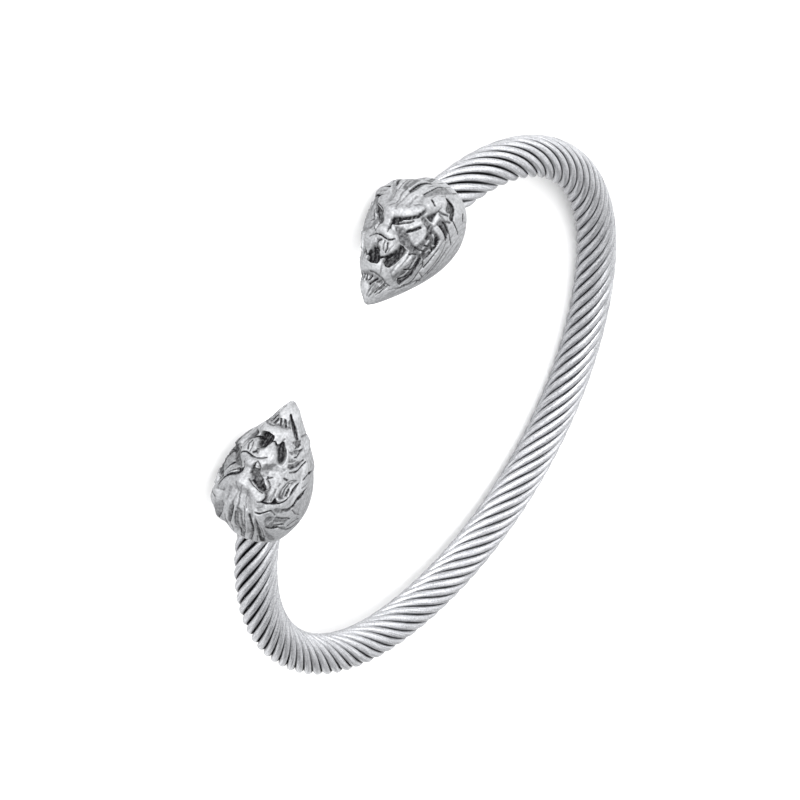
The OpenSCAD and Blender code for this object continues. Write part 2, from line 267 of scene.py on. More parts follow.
# Hollows with steep walls. An outline that crosses the middle line runs on past it.
# Columns: half, depth, stain, outline
HOLLOWS = [
    # open mouth between the fangs
    (BOTH, 0.9, 1.0, [(-0.3, 10.65), (0.3, 10.7), (0.5, 11.0), (0.5, 11.3), (0.68, 11.6), (0.66, 12.05),
        (0.4, 12.25), (-0.4, 12.25)]),
    # left half: ear, hollow behind it, wedge before it
    (LEFT, 0.35, 0.75, [(6.1, 3.3), (5.7, 3.0), (5.4, 2.68), (5.0, 2.38), (4.6, 2.2), (4.2, 2.18),
        (3.85, 2.3), (3.45, 2.58), (3.75, 2.75), (4.05, 2.95), (4.3, 3.35), (4.6, 3.55), (4.9, 3.42),
        (5.1, 3.2), (5.4, 3.5), (5.9, 3.55)]),
    (LEFT, 0.25, 0.7, [(6.8, 4.65), (6.5, 4.4), (6.0, 4.3), (5.4, 4.42), (4.8, 4.5), (4.6, 4.9),
        (4.7, 5.35), (5.4, 5.38), (6.4, 5.5), (6.85, 5.65), (7.05, 5.3)]),
    (LEFT, 0.4, 0.95, [(3.95, 3.6), (3.88, 4.2), (3.7, 4.7), (3.35, 5.4), (3.7, 5.5), (4.1, 5.5),
        (4.05, 5.0), (4.0, 4.4)]),
    # left half: the wide hollow of the cheek, from under the ear to the corner of the lips
    (LEFT, 0.22, 0.76, [(6.1, 6.08), (5.0, 6.02), (4.6, 5.8), (3.9, 5.65), (3.2, 5.6), (3.0, 5.95),
        (3.3, 6.15), (3.9, 6.3), (4.2, 6.7), (4.3, 7.2), (4.15, 7.9), (3.8, 8.45), (3.2, 8.4), (2.6, 8.1),
        (2.0, 7.85), (1.4, 7.95), (0.95, 8.1), (1.35, 8.55), (1.8, 8.95), (2.1, 9.25), (2.9, 9.25),
        (3.6, 9.2), (4.0, 9.6), (4.0, 10.4), (3.7, 11.3), (3.7, 12.0), (4.6, 12.0), (4.9, 11.5),
        (4.95, 10.2), (4.95, 9.1), (5.3, 8.98), (5.6, 8.9), (5.85, 8.4), (6.05, 7.8), (6.2, 7.0),
        (6.2, 6.4)]),
    (LEFT, 0.2, 0.95, [(6.1, 6.15), (5.5, 6.1), (5.3, 6.4), (5.5, 6.8), (6.1, 6.9), (6.18, 6.5)]),
    (LEFT, 0.02, 0.3, [(4.3, 6.3), (3.3, 6.2), (2.6, 6.9), (1.6, 7.8), (2.6, 8.2), (3.8, 8.5), (4.4, 7.6)]),
    (LEFT, 0.06, 0.5, [(4.0, 9.2), (3.1, 9.3), (2.95, 10.2), (2.5, 11.2), (2.1, 12.1), (3.2, 12.3),
        (3.9, 11.6), (4.0, 10.2)]),
    # left half: inner corner of the eye, corner of the mouth
    (LEFT, 0.3, 0.88, [(1.5, 7.15), (1.0, 7.35), (0.68, 7.75), (0.75, 8.1), (1.0, 7.95), (1.35, 7.7)]),
    (LEFT, 0.6, 0.86, [(2.98, 9.5), (2.6, 9.35), (2.25, 9.4), (2.1, 9.95), (1.85, 10.5), (1.55, 10.9),
        (1.2, 11.25), (1.15, 11.65), (1.4, 11.9), (1.8, 11.8), (2.1, 11.45), (2.45, 11.0), (2.75, 10.4),
        (2.95, 9.9)]),
    # left half: locks of the forehead
    (LEFT, 0.18, 0.72, [(1.1, 1.8), (0.85, 1.95), (0.6, 2.3), (0.42, 2.9), (0.33, 3.5), (0.38, 4.1),
        (0.6, 4.05), (0.85, 3.6), (0.9, 3.0), (0.98, 2.4), (1.2, 2.05)]),
    # A grey patch of painted shade on the side of a lock of the forehead
    (LEFT, 0.08, 0.5, [(3.2, 1.5), (2.3, 1.8), (1.95, 2.6), (1.82, 3.3), (1.75, 3.8), (2.2, 3.7),
        (2.8, 3.0), (3.2, 2.4)]),
    (LEFT, 0.1, 0.4, [(1.5, 3.95), (1.25, 4.0), (1.1, 4.6), (1.0, 5.3), (1.0, 5.85), (1.25, 5.9),
        (1.4, 5.7), (1.45, 4.6)]),
    # right half: locks of the forehead
    (RIGHT, 0.12, 0.62, [(0.05, 0.6), (0.45, 0.5), (0.85, 1.8), (0.95, 2.4), (0.85, 3.0), (0.78, 3.7),
        (0.5, 3.95), (0.08, 3.9), (0.0, 3.0)]),
    (RIGHT, 0.1, 0.5, [(0.95, 0.3), (1.4, 0.3), (1.75, 1.4), (1.8, 2.3), (1.6, 2.3), (1.4, 1.6)]),
    (RIGHT, 0.06, 0.45, [(3.3, 0.6), (4.1, 0.8), (3.6, 1.9), (3.1, 2.6), (2.9, 2.8), (3.1, 1.9)]),
    (RIGHT, 0.08, 0.4, [(1.0, 1.3), (1.35, 1.3), (1.5, 1.8), (1.35, 2.4), (1.15, 2.1)]),
    (RIGHT, 0.1, 0.42, [(1.7, 3.6), (1.3, 3.95), (1.1, 4.3), (0.95, 4.9), (0.8, 5.6), (0.75, 6.3),
        (0.95, 6.2), (1.2, 5.4), (1.4, 4.8), (1.8, 4.1), (2.0, 3.6)]),
    (RIGHT, 0.2, 0.85, [(2.25, 0.4), (2.8, 0.35), (2.98, 1.0), (3.0, 1.8), (2.85, 2.5), (2.6, 3.0),
        (2.3, 3.5), (2.1, 3.6), (2.25, 3.0), (2.25, 2.2), (2.3, 1.6)]),
    # right half: ear, the curl before it and the hollow behind it
    (RIGHT, 0.12, 0.5, [(3.1, 3.0), (4.0, 2.7), (5.0, 2.8), (5.8, 3.1), (6.3, 3.5), (5.6, 3.75), (4.5, 3.9),
        (3.7, 4.0), (3.1, 3.9)]),
    (RIGHT, 0.1, 0.3, [(2.1, 4.3), (2.5, 4.4), (2.9, 4.9), (2.6, 5.4), (2.1, 5.2)]),
    (RIGHT, 0.1, 0.85, [(3.15, 2.9), (3.6, 2.66), (4.2, 2.5), (4.85, 2.58), (4.5, 2.82), (3.8, 2.82)]),
    (RIGHT, 0.06, 0.45, [(4.8, 2.5), (5.2, 2.2), (5.8, 2.0), (5.9, 2.4), (5.3, 2.7)]),
    (RIGHT, 0.12, 0.65, [(3.0, 3.2), (3.4, 3.45), (3.75, 3.9), (3.4, 4.05), (3.1, 3.8)]),
    (RIGHT, 0.12, 0.52, [(3.6, 4.85), (4.0, 4.45), (4.6, 4.3), (5.2, 4.4), (4.9, 4.85), (4.3, 5.05),
        (3.8, 5.1)]),
    # right half: eye and the side of the nose
    (RIGHT, 0.4, 0.8, [(0.6, 7.6), (1.1, 7.2), (1.6, 6.95), (2.2, 6.65), (2.35, 6.75), (2.1, 7.2),
        (1.75, 7.7), (1.3, 8.0), (1.05, 8.3), (1.0, 8.8), (0.8, 8.7), (0.55, 8.85), (0.45, 9.3),
        (0.35, 9.1), (0.3, 8.5), (0.35, 8.0)]),
    (RIGHT, 0.08, 0.5, [(1.1, 8.1), (1.5, 7.9), (1.9, 8.2), (2.1, 8.8), (3.1, 8.9), (3.3, 9.3), (2.6, 9.4),
        (2.0, 9.6), (1.3, 9.5), (1.1, 8.9)]),
    (RIGHT, 0.02, 0.28, [(2.2, 6.9), (3.0, 6.2), (3.6, 6.6), (3.6, 8.2), (3.4, 9.0), (2.2, 8.9),
        (2.0, 7.8)]),
    # Painted shadow at the outer corner of the eye: this row's stain stands for shade
    (RIGHT, 0.15, 0.62, [(2.4, 5.5), (2.9, 5.7), (2.85, 6.3), (2.6, 6.8), (2.2, 7.2), (2.05, 7.0),
        (2.4, 6.5), (2.5, 6.0)]),
    # right half: notch of the brow and the leaf on the cheek
    (RIGHT, 0.3, 1.0, [(3.25, 5.6), (3.8, 5.6), (3.6, 6.25), (3.45, 6.2)]),
    (RIGHT, 0.25, 0.72, [(3.65, 6.4), (3.9, 6.1), (4.4, 6.15), (4.7, 6.6), (4.6, 7.1), (4.75, 7.6),
        (5.2, 7.9), (5.85, 7.85), (5.2, 8.1), (4.6, 8.2), (4.1, 8.0), (3.75, 7.3)]),
    (RIGHT, 0.3, 0.9, [(4.85, 6.05), (5.3, 6.35), (5.75, 6.95), (6.0, 7.55), (5.85, 7.75), (5.4, 7.65),
        (5.1, 7.2), (5.05, 6.7)]),
    (RIGHT, 0.2, 0.8, [(5.95, 4.9), (6.2, 4.8), (6.35, 5.6), (6.8, 6.0), (7.4, 6.3), (7.8, 6.9), (7.2, 7.0),
        (6.6, 6.6), (6.15, 6.0)]),
    # right half: fur of the cheek
    (RIGHT, 0.15, 0.62, [(3.3, 9.5), (3.8, 9.35), (4.4, 9.6), (5.0, 9.85), (4.6, 10.05), (4.0, 10.2),
        (3.4, 10.35), (3.1, 10.3)]),
    (RIGHT, 0.15, 0.58, [(3.1, 10.8), (3.8, 10.65), (4.2, 10.7), (4.1, 11.05), (3.4, 11.1)]),
    (RIGHT, 0.3, 0.95, [(4.1, 10.45), (4.45, 10.6), (4.85, 11.15), (4.4, 11.15), (4.1, 11.0), (4.3, 10.8)]),
    # right half: corner of the mouth, and the hollow under the lip down to the beard
    (RIGHT, 0.6, 0.92, [(2.55, 9.6), (2.2, 9.8), (1.95, 10.2), (1.75, 10.6), (1.45, 11.0), (0.95, 11.62),
        (1.35, 11.42), (1.6, 11.7), (1.8, 11.75), (2.15, 11.3), (2.5, 10.95), (2.7, 10.45), (2.75, 10.0)]),
    (RIGHT, 0.2, 0.66, [(4.2, 11.65), (3.8, 11.3), (3.3, 11.3), (2.9, 11.5), (2.6, 11.9), (3.1, 12.0),
        (3.6, 12.0), (4.1, 11.95)]),
    (RIGHT, 0.25, 0.88, [(3.6, 11.95), (3.0, 12.0), (2.3, 12.6), (1.6, 13.25), (1.0, 13.85), (0.65, 14.45),
        (1.2, 14.05), (1.9, 13.5), (2.7, 12.95), (3.4, 12.3)]),
    # beard
    (LEFT, 0.05, 0.45, [(2.2, 12.95), (0, 13.1), (-0.5, 13.1), (-0.5, 13.5), (0.1, 14.2), (0.8, 14.5),
        (1.5, 13.9)]),
    (RIGHT, 0.1, 0.66, [(-0.3, 13.1), (1.5, 13.05), (1.1, 13.6), (0.4, 14.0), (0, 13.6)]),
]

# Chased grooves, deeper where they are darker. Columns: half, stain, half width, route
GROOVES = [
    # locks of the forehead, left half
    (LEFT, 0.7, 0.06, [(1.1, 0.3), (1.05, 1.2), (0.85, 1.98)]),
    (LEFT, 0.6, 0.06, [(1.9, 0.3), (1.9, 1.0), (1.6, 1.8), (1.4, 2.6)]),
    (LEFT, 1.0, 0.09, [(0.85, 1.98), (0.56, 2.5), (0.4, 3.2), (0.36, 3.9)]),
    (LEFT, 0.5, 0.1, [(0.52, 4.1), (0.41, 4.8), (0.29, 5.4), (0.22, 5.8), (0.37, 6.2), (0.52, 6.7)]),
    (LEFT, 0.9, 0.07, [(2.9, 0.4), (2.95, 0.9), (2.75, 1.35), (2.29, 1.77), (2.06, 2.15), (1.91, 2.65),
        (1.82, 3.1), (1.72, 3.6)]),
    (LEFT, 0.45, 0.12, [(3.1, 1.3), (3.0, 1.8), (3.1, 2.3)]),
    (LEFT, 0.5, 0.07, [(3.3, 2.5), (3.15, 2.9)]),
    (LEFT, 0.35, 0.06, [(1.65, 5.4), (1.5, 5.85)]),
    # brow's curl, slit of the ear
    (LEFT, 0.5, 0.11, [(2.95, 5.0), (2.75, 4.8), (2.4, 4.72), (2.06, 4.85), (1.83, 5.15)]),
    (LEFT, 0.75, 0.17, [(3.0, 5.15), (2.85, 5.6)]),
    (LEFT, 1.0, 0.08, [(3.4, 4.08), (3.1, 3.92), (2.8, 3.78)]),
    # edges of the ear and of the hollow behind it, left half
    (LEFT, 1.0, 0.07, [(6.1, 3.28), (5.7, 3.0), (5.4, 2.66), (5.0, 2.36), (4.6, 2.2), (4.2, 2.18),
        (3.85, 2.3), (3.5, 2.55)]),
    (LEFT, 0.95, 0.07, [(8.35, 3.6), (7.9, 3.46), (7.3, 3.41), (6.7, 3.37), (6.1, 3.29)]),
    (LEFT, 0.75, 0.12, [(6.0, 3.75), (5.6, 4.0), (5.4, 4.25)]),
    (LEFT, 0.8, 0.1, [(5.05, 3.64), (4.75, 3.86), (4.45, 4.04), (4.06, 4.09)]),
    (LEFT, 0.6, 0.12, [(5.3, 4.35), (4.8, 4.35), (4.3, 4.3)]),
    (LEFT, 0.85, 0.1, [(6.75, 4.55), (6.2, 4.4), (5.6, 4.45), (5.1, 4.55)]),
    (LEFT, 0.95, 0.14, [(6.9, 5.5), (6.95, 5.2), (6.3, 5.12), (5.6, 5.12), (5.1, 5.15)]),
    (LEFT, 0.6, 0.08, [(4.75, 5.1), (4.65, 5.7)]),
    (LEFT, 0.75, 0.08, [(8.46, 5.1), (7.9, 4.93), (7.3, 4.75), (6.8, 4.57)]),
    (LEFT, 0.95, 0.1, [(7.1, 1.93), (6.8, 1.79), (6.45, 1.61), (6.14, 1.43), (5.9, 1.29)]),
    # mane, left half
    (LEFT, 0.85, 0.08, [(6.68, 6.86), (6.64, 7.4), (6.52, 8.06), (6.4, 8.7), (6.28, 9.2)]),
    (LEFT, 0.6, 0.1, [(8.0, 9.05), (7.2, 9.15)]),
    (LEFT, 0.6, 0.08, [(6.8, 9.9), (6.1, 9.85)]),
    (LEFT, 0.75, 0.1, [(7.3, 5.6), (7.6, 6.8), (7.5, 8.2), (7.1, 9.6), (6.5, 10.8)]),
    (LEFT, 0.6, 0.12, [(8.2, 5.8), (8.3, 7.2), (8.1, 8.6), (7.6, 10.0)]),
    (LEFT, 0.6, 0.08, [(7.2, 10.2), (6.4, 10.5), (5.9, 11.0), (5.2, 11.9), (4.4, 12.5)]),
    (LEFT, 0.35, 0.07, [(4.9, 12.1), (4.0, 12.6), (3.0, 13.2)]),
    # hollow of the cheek, left half
    (LEFT, 1.0, 0.08, [(6.18, 6.4), (6.2, 7.0), (6.1, 7.5), (5.95, 8.0), (5.86, 8.3)]),
    (LEFT, 0.95, 0.09, [(6.1, 7.42), (5.7, 7.42), (5.4, 7.3)]),
    (LEFT, 0.95, 0.07, [(5.2, 7.6), (4.7, 7.9), (4.3, 8.0)]),
    (LEFT, 0.95, 0.07, [(5.0, 8.3), (4.4, 8.55), (3.8, 8.6)]),
    (LEFT, 0.95, 0.12, [(4.7, 6.4), (4.6, 6.8), (4.55, 7.2)]),
    (LEFT, 0.95, 0.07, [(4.5, 9.0), (3.8, 9.3), (3.5, 9.6)]),
    (LEFT, 0.9, 0.09, [(6.04, 9.42), (6.0, 9.22), (5.6, 9.06), (5.24, 9.08)]),
    (LEFT, 0.7, 0.08, [(5.5, 9.28), (5.28, 9.42), (5.2, 9.8)]),
    (LEFT, 0.85, 0.08, [(6.0, 9.4), (5.96, 9.98), (5.88, 10.62), (5.68, 11.1), (5.36, 11.58),
        (4.96, 11.9)]),
    (LEFT, 1.0, 0.1, [(4.92, 9.05), (4.9, 9.82), (4.92, 10.62), (4.84, 11.26), (4.64, 11.82)]),
    (LEFT, 0.95, 0.07, [(4.6, 10.4), (4.2, 10.6), (3.7, 10.9)]),
    (LEFT, 0.95, 0.07, [(4.6, 11.0), (4.2, 11.5), (3.6, 11.8)]),
    (LEFT, 1.0, 0.13, [(3.4, 6.7), (3.12, 7.1), (2.8, 7.5), (2.35, 7.9)]),
    # lids of the eye, left half
    (LEFT, 0.95, 0.15, [(2.75, 5.7), (2.68, 6.0), (2.35, 6.4), (1.95, 6.78), (1.5, 7.08), (1.1, 7.3),
        (0.8, 7.55), (0.63, 7.85)]),
    (LEFT, 0.95, 0.1, [(0.63, 7.85), (0.6, 8.2), (0.66, 8.6)]),
    (LEFT, 0.9, 0.05, [(0.66, 8.6), (0.69, 9.15)]),
    (LEFT, 0.85, 0.07, [(2.5, 6.65), (2.25, 6.98), (1.9, 7.28), (1.5, 7.55), (1.2, 7.82)]),
    # nose, muzzle and lips, left half
    (LEFT, 1.0, 0.075, [(1.56, 9.35), (1.37, 9.65), (1.06, 9.77), (0.45, 9.73), (0, 9.68)]),
    (LEFT, 0.95, 0.08, [(1.06, 10.1), (1.2, 10.6), (1.1, 10.95)]),
    (LEFT, 0.9, 0.1, [(0.35, 10.05), (0.12, 10.2), (0.1, 10.5)]),
    (LEFT, 0.8, 0.06, [(0.75, 10.0), (0.72, 10.5), (0.85, 10.9)]),
    (LEFT, 0.55, 0.05, [(1.65, 10.0), (1.45, 10.5), (1.35, 10.9)]),
    (LEFT, 1.0, 0.08, [(2.1, 10.1), (1.85, 10.62), (1.5, 11.0), (1.1, 11.3), (0.75, 11.55), (0.4, 11.3)]),
    (LEFT, 1.0, 0.08, [(2.95, 9.45), (2.6, 9.32), (2.3, 9.42)]),
    (LEFT, 0.5, 0.09, [(1.12, 11.6), (1.12, 12.65)]),
    # beard, left half
    (LEFT, 0.7, 0.055, [(3.0, 12.8), (2.1, 12.95), (1.0, 12.9), (0, 13.0)]),
    (LEFT, 0.75, 0.08, [(2.1, 13.1), (1.8, 13.5), (1.5, 13.8)]),
    (LEFT, 0.75, 0.08, [(1.45, 13.05), (0.95, 13.42)]),
    (LEFT, 1.0, 0.08, [(0.95, 13.1), (0.6, 13.46), (0.3, 14.0)]),
    (LEFT, 0.75, 0.07, [(2.0, 12.95), (1.6, 13.5), (1.0, 14.3)]),
    (LEFT, 0.7, 0.07, [(2.6, 12.9), (2.2, 13.3), (1.7, 14.0)]),
    (LEFT, 0.6, 0.06, [(1.3, 13.7), (0.7, 14.4), (0.35, 15.0)]),
    (LEFT, 0.6, 0.06, [(0.75, 13.7), (0.4, 14.3), (0.15, 15.0)]),
    (LEFT, 0.5, 0.06, [(2.7, 13.0), (1.9, 13.8), (1.2, 14.4)]),
    # locks of the forehead, right half
    (RIGHT, 1.0, 0.06, [(0.05, 0.3), (0, 1.2), (-0.03, 2.0), (-0.05, 2.96), (0, 3.5)]),
    (RIGHT, 0.55, 0.09, [(0.08, 3.8), (0.17, 4.4), (0.11, 4.96)]),
    (RIGHT, 0.6, 0.06, [(0.11, 4.96), (0.0, 5.27), (0.03, 5.9), (0.12, 6.35), (0.18, 6.65)]),
    (RIGHT, 0.6, 0.05, [(0.66, 1.35), (0.78, 1.88), (0.9, 2.35), (0.8, 3.0)]),
    (RIGHT, 0.8, 0.06, [(1.2, 0.3), (1.3, 0.6), (1.5, 0.96), (1.66, 1.27), (1.78, 1.73)]),
    (RIGHT, 0.92, 0.13, [(1.78, 1.73), (1.89, 2.27), (1.87, 2.8), (1.72, 3.35), (1.5, 3.7)]),
    (RIGHT, 0.65, 0.055, [(1.05, 4.2), (0.85, 4.8), (0.78, 5.42), (0.74, 6.2)]),
    (RIGHT, 0.7, 0.07, [(1.9, 0.3), (2.0, 0.6), (2.15, 1.2)]),
    (RIGHT, 0.5, 0.08, [(2.6, 0.6), (2.9, 1.1), (3.1, 1.4)]),
    (RIGHT, 0.4, 0.1, [(3.9, 1.3), (3.5, 1.8), (3.2, 2.3)]),
    (RIGHT, 0.65, 0.055, [(0.4, 0.3), (0.5, 0.9), (0.95, 1.8), (1.1, 2.8), (1.0, 3.6), (0.8, 4.3)]),
    (RIGHT, 0.5, 0.05, [(2.4, 0.3), (2.5, 0.7), (2.6, 1.6), (2.5, 2.6)]),
    (RIGHT, 0.5, 0.06, [(3.9, 0.9), (3.4, 1.6), (3.15, 2.3)]),
    # ear, the curl before it and the hollow behind it, right half
    (RIGHT, 1.0, 0.075, [(3.2, 2.85), (3.43, 2.73), (3.8, 2.6), (4.2, 2.54), (4.66, 2.6)]),
    (RIGHT, 0.65, 0.07, [(4.66, 2.6), (5.0, 2.52), (5.3, 2.3), (5.5, 2.15)]),
    (RIGHT, 0.8, 0.08, [(4.05, 2.8), (4.5, 2.85), (5.0, 2.93), (5.5, 2.88)]),
    (RIGHT, 0.75, 0.1, [(4.2, 3.9), (4.75, 3.7), (5.2, 3.6), (5.75, 3.65), (6.3, 3.52)]),
    (RIGHT, 0.6, 0.08, [(4.0, 3.5), (4.6, 3.3), (5.2, 3.25), (5.8, 3.3)]),
    (RIGHT, 1.0, 0.08, [(2.05, 4.08), (2.43, 4.1), (2.66, 4.27), (2.9, 4.5), (3.2, 4.73), (3.4, 4.8)]),
    (RIGHT, 0.7, 0.07, [(3.4, 4.8), (3.66, 4.58), (3.97, 4.2)]),
    (RIGHT, 0.88, 0.2, [(4.9, 4.72), (5.5, 4.62), (5.95, 4.85), (6.15, 5.2)]),
    (RIGHT, 0.95, 0.1, [(6.15, 5.2), (6.3, 5.6), (6.5, 5.92), (6.9, 6.1), (7.3, 6.22), (7.6, 6.45),
        (7.72, 6.8), (7.95, 6.95)]),
    # brow line, round the leaf of the cheek
    (RIGHT, 0.7, 0.1, [(2.0, 5.3), (2.3, 5.45)]),
    (RIGHT, 0.8, 0.12, [(2.35, 5.5), (2.62, 5.95), (2.5, 6.4), (2.2, 6.8), (2.0, 7.2)]),
    (RIGHT, 0.5, 0.06, [(2.1, 4.6), (2.5, 4.9), (2.6, 5.4)]),
    (RIGHT, 1.0, 0.09, [(2.35, 5.46), (2.66, 5.5), (3.05, 5.56), (3.58, 5.58), (4.12, 5.65), (4.55, 5.85),
        (4.9, 6.1)]),
    (RIGHT, 0.65, 0.08, [(3.15, 5.9), (3.22, 6.5), (3.25, 7.1)]),
    (RIGHT, 0.5, 0.06, [(2.95, 5.7), (2.98, 6.4)]),
    (RIGHT, 0.9, 0.08, [(4.6, 6.5), (4.62, 7.2)]),
    (RIGHT, 0.8, 0.07, [(4.1, 6.4), (4.2, 7.1), (4.4, 7.8)]),
    (RIGHT, 0.7, 0.06, [(3.35, 7.4), (3.42, 7.75)]),
    (RIGHT, 0.8, 0.1, [(3.55, 8.35), (3.95, 8.2)]),
    # lids of the eye, right half
    (RIGHT, 1.0, 0.05, [(0.5, 7.5), (1.0, 6.98), (1.5, 6.73), (1.9, 6.54), (2.16, 6.38)]),
    (RIGHT, 0.98, 0.08, [(0.8, 7.4), (1.35, 7.04), (1.8, 6.8), (2.25, 6.62)]),
    (RIGHT, 0.9, 0.05, [(0.33, 8.0), (0.32, 8.6), (0.42, 9.2), (0.5, 9.5)]),
    (RIGHT, 0.9, 0.05, [(1.0, 8.9), (0.8, 9.25), (0.55, 9.5)]),
    (RIGHT, 0.9, 0.07, [(1.95, 8.1), (2.1, 7.92), (2.42, 8.15)]),
    # pupil, and the fold under the eye, right half
    (RIGHT, 1.0, 0.2, [(1.92, 6.93), (1.86, 7.05)]),
    (RIGHT, 0.85, 0.07, [(2.62, 6.75), (2.62, 7.15), (2.4, 7.5), (2.0, 7.85)]),
    # nose, muzzle and lips, right half
    (RIGHT, 0.85, 0.055, [(0, 9.7), (0.43, 9.75), (0.82, 9.88), (1.05, 10.08)]),
    (RIGHT, 0.6, 0.09, [(-0.1, 10.2), (0.1, 10.15)]),
    (RIGHT, 0.4, 0.1, [(0.1, 10.3), (0.1, 10.6)]),
    (RIGHT, 1.0, 0.07, [(0.45, 11.1), (0.7, 11.6), (0.95, 11.68), (1.2, 11.4)]),
    (RIGHT, 0.6, 0.08, [(1.6, 11.7), (1.65, 12.1)]),
    # fur of the cheek, right half
    (RIGHT, 0.7, 0.08, [(3.85, 9.0), (4.45, 9.0)]),
    (RIGHT, 0.98, 0.1, [(4.45, 9.0), (4.9, 9.1), (5.37, 9.27), (5.7, 9.5), (5.98, 9.82)]),
    (RIGHT, 0.85, 0.1, [(3.75, 9.38), (4.15, 9.52), (4.7, 9.67), (5.15, 9.82), (5.6, 10.0)]),
    (RIGHT, 0.9, 0.08, [(3.75, 10.44), (4.15, 10.44), (4.45, 10.66)]),
    (RIGHT, 0.6, 0.08, [(2.9, 10.9), (3.3, 10.75)]),
    (RIGHT, 1.0, 0.08, [(3.2, 12.3), (2.75, 12.7), (2.28, 13.08), (1.6, 13.6), (1.1, 14.0), (0.72, 14.38)]),
    (RIGHT, 0.8, 0.08, [(3.4, 11.25), (3.85, 11.35), (4.15, 11.6)]),
    # beard, right half
    (RIGHT, 0.45, 0.14, [(0.1, 13.15), (1.3, 13.1)]),
    (RIGHT, 0.9, 0.08, [(0.4, 13.2), (0.2, 13.8)]),
    (RIGHT, 0.8, 0.08, [(1.1, 13.1), (0.6, 13.8)]),
    (RIGHT, 0.9, 0.08, [(-0.3, 13.2), (-0.05, 13.7)]),
    (RIGHT, 0.7, 0.06, [(1.6, 13.1), (1.0, 13.8)]),
    # mane, right half
    (RIGHT, 0.65, 0.1, [(6.12, 2.54), (6.5, 2.73), (7.05, 2.92), (7.6, 3.08), (8.1, 3.2)]),
    (RIGHT, 0.7, 0.14, [(6.0, 2.0), (7.0, 2.05), (7.8, 2.3), (8.6, 2.4)]),
    (RIGHT, 0.92, 0.1, [(6.45, 8.08), (6.75, 8.42), (7.06, 8.65)]),
    (RIGHT, 0.92, 0.14, [(7.06, 8.65), (7.5, 8.6), (7.9, 8.46), (8.2, 8.58)]),
    (RIGHT, 0.85, 0.1, [(5.68, 11.85), (5.75, 11.5), (5.9, 11.2), (6.25, 10.9)]),
    (RIGHT, 0.6, 0.08, [(3.95, 12.25), (4.9, 12.35), (5.6, 12.42)]),
    (RIGHT, 0.6, 0.08, [(6.3, 4.6), (7.2, 4.0), (8.0, 3.8)]),
    (RIGHT, 0.6, 0.08, [(6.6, 7.2), (7.4, 7.6)]),
]

